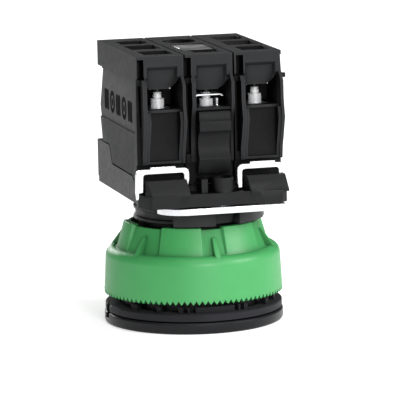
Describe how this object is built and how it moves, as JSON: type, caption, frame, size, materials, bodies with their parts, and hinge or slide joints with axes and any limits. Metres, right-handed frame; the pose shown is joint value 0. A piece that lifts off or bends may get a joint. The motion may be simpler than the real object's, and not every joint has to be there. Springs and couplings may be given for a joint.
{
  "type": "push button switch",
  "caption": "Flush panel push button with a green lens, a toothed mounting nut, and two contact blocks beside a light module.",
  "frame": {"origin": "centre of the bezel's front face, which the button stands on, on the button's own axis", "axes": "+Z runs from the bezel through the panel to the contact blocks; -Y is the side with the release latch; +X is to the right seen from that side"},
  "size_m": [0.037, 0.0388, 0.0568],
  "materials": {
    "bezel_metal": "satin black",
    "operator_plastic": "moulded black",
    "gasket_rubber": "dull black",
    "green_lens": "clear gloss green",
    "diffuser_white": "frosted white",
    "ivory_plastic": "moulded ivory",
    "spring_steel": "drawn wire",
    "green_plastic": "moulded green, satin",
    "ring_plastic": "moulded black",
    "collar_plastic": "moulded black",
    "zinc_plate": "bright zinc plating",
    "block_plastic": "moulded charcoal",
    "label_grey": "clear grey window",
    "circuit_board": "solder mask",
    "led_green": "clear green",
    "contact_brass": "satin"
  },
  "bodies": {
    "frame": {"bezel": "bezel_metal", "operator_body": "operator_plastic", "panel_gasket": "gasket_rubber", "return_spring": "spring_steel", "clamp_plate": "zinc_plate", "collar": "collar_plastic", "left_clip": "zinc_plate", "right_clip": "zinc_plate", "light_housing": "block_plastic", "light_side_cover": "block_plastic", "label_window": "label_grey", "circuit_board": "circuit_board", "led_holder": "ivory_plastic", "led_lens": "led_green", "left_block_housing": "block_plastic", "left_block_side_cover": "block_plastic", "left_block_plunger_spring": "spring_steel", "right_block_housing": "block_plastic", "right_block_side_cover": "block_plastic", "right_block_plunger_spring": "spring_steel", "left_block_front_terminal": "zinc_plate", "left_block_back_terminal": "zinc_plate", "light_front_terminal": "zinc_plate", "light_back_terminal": "zinc_plate", "right_block_front_terminal": "zinc_plate", "right_block_back_terminal": "zinc_plate", "left_block_front_clamp": "zinc_plate", "left_block_back_clamp": "zinc_plate", "light_front_clamp": "zinc_plate", "light_back_clamp": "zinc_plate", "right_block_front_clamp": "zinc_plate", "right_block_back_clamp": "zinc_plate"},
    "button": {"lens_cap": "green_lens", "diffuser": "diffuser_white", "pusher": "ivory_plastic", "lip_seal": "gasket_rubber", "retaining_ring": "spring_steel", "actuator_plate": "ivory_plastic"},
    "nut": {"tightening_nut": "green_plastic"},
    "ring": {"locking_ring": "ring_plastic"},
    "latch": {"release_latch": "block_plastic"},
    "collar_screw_body": {"collar_screw": "zinc_plate"},
    "left_plunger": {"left_block_plunger": "ivory_plastic"},
    "left_bridge": {"left_block_bridge": "contact_brass"},
    "right_plunger": {"right_block_plunger": "ivory_plastic"},
    "right_bridge": {"right_block_bridge": "contact_brass"},
    "left_block_front_screw_body": {"left_block_front_screw": "zinc_plate"},
    "left_block_back_screw_body": {"left_block_back_screw": "zinc_plate"},
    "light_front_screw_body": {"light_front_screw": "zinc_plate"},
    "light_back_screw_body": {"light_back_screw": "zinc_plate"},
    "right_block_front_screw_body": {"right_block_front_screw": "zinc_plate"},
    "right_block_back_screw_body": {"right_block_back_screw": "zinc_plate"}
  },
  "joints": [
    {"name": "button_press", "type": "slide", "parent": "frame", "child": "button", "axis": [0, 0, 1], "range_m": [0, 0.0035], "stiffness_N_per_m": 600, "springref_m": -0.003, "deforming": ["return_spring"]},
    {"name": "nut_turn", "type": "hinge", "parent": "frame", "child": "nut", "pos_m": [0, 0, 0.0136], "axis": [0, 0, 1], "range_deg": [-120, 120]},
    {"name": "locking_ring_turn", "type": "hinge", "parent": "frame", "child": "ring", "pos_m": [0, 0, 0.0229], "axis": [0, 0, 1], "range_deg": [0, 30]},
    {"name": "release_latch_tilt", "type": "hinge", "parent": "frame", "child": "latch", "pos_m": [0.0007, -0.0151, 0.0336], "axis": [1, 0, 0], "range_deg": [0, 7], "stiffness_Nm_per_rad": 0.05, "springref_deg": -2.86},
    {"name": "collar_screw_turn", "type": "hinge", "parent": "frame", "child": "collar_screw_body", "pos_m": [0.0019, -0.017, 0.0305], "axis": [0, 0, 1], "range_deg": [-720, 0]},
    {"name": "left_plunger_slide", "type": "slide", "parent": "frame", "child": "left_plunger", "axis": [0, 0, 1], "range_m": [0, 0.0035], "stiffness_N_per_m": 120, "springref_m": -0.002, "deforming": ["left_block_plunger_spring"]},
    {"name": "left_bridge_slide", "type": "slide", "parent": "frame", "child": "left_bridge", "axis": [0, 0, 1], "range_m": [0, 0.00228]},
    {"name": "right_plunger_slide", "type": "slide", "parent": "frame", "child": "right_plunger", "axis": [0, 0, 1], "range_m": [0, 0.0035], "stiffness_N_per_m": 120, "springref_m": -0.002, "deforming": ["right_block_plunger_spring"]},
    {"name": "right_bridge_slide", "type": "slide", "parent": "frame", "child": "right_bridge", "axis": [0, 0, 1], "range_m": [0, 0.00228]},
    {"name": "left_block_front_screw_turn", "type": "hinge", "parent": "frame", "child": "left_block_front_screw_body", "pos_m": [-0.00955, -0.0105, 0.048], "axis": [0, 0, 1], "range_deg": [-900, 0]},
    {"name": "left_block_back_screw_turn", "type": "hinge", "parent": "frame", "child": "left_block_back_screw_body", "pos_m": [-0.00955, 0.0094, 0.048], "axis": [0, 0, 1], "range_deg": [-900, 0]},
    {"name": "light_front_screw_turn", "type": "hinge", "parent": "frame", "child": "light_front_screw_body", "pos_m": [0.00065, -0.0105, 0.048], "axis": [0, 0, 1], "range_deg": [-900, 0]},
    {"name": "light_back_screw_turn", "type": "hinge", "parent": "frame", "child": "light_back_screw_body", "pos_m": [0.00065, 0.0094, 0.048], "axis": [0, 0, 1], "range_deg": [-900, 0]},
    {"name": "right_block_front_screw_turn", "type": "hinge", "parent": "frame", "child": "right_block_front_screw_body", "pos_m": [0.01085, -0.0105, 0.048], "axis": [0, 0, 1], "range_deg": [-900, 0]},
    {"name": "right_block_back_screw_turn", "type": "hinge", "parent": "frame", "child": "right_block_back_screw_body", "pos_m": [0.01085, 0.0094, 0.048], "axis": [0, 0, 1], "range_deg": [-900, 0]}
  ],
  "couplings": [
    {"joint": "left_plunger_slide", "follows": "button_press", "ratio": 1},
    {"joint": "left_bridge_slide", "follows": "button_press", "ratio": 0.65},
    {"joint": "right_plunger_slide", "follows": "button_press", "ratio": 1},
    {"joint": "right_bridge_slide", "follows": "button_press", "ratio": 0.65}
  ]
}
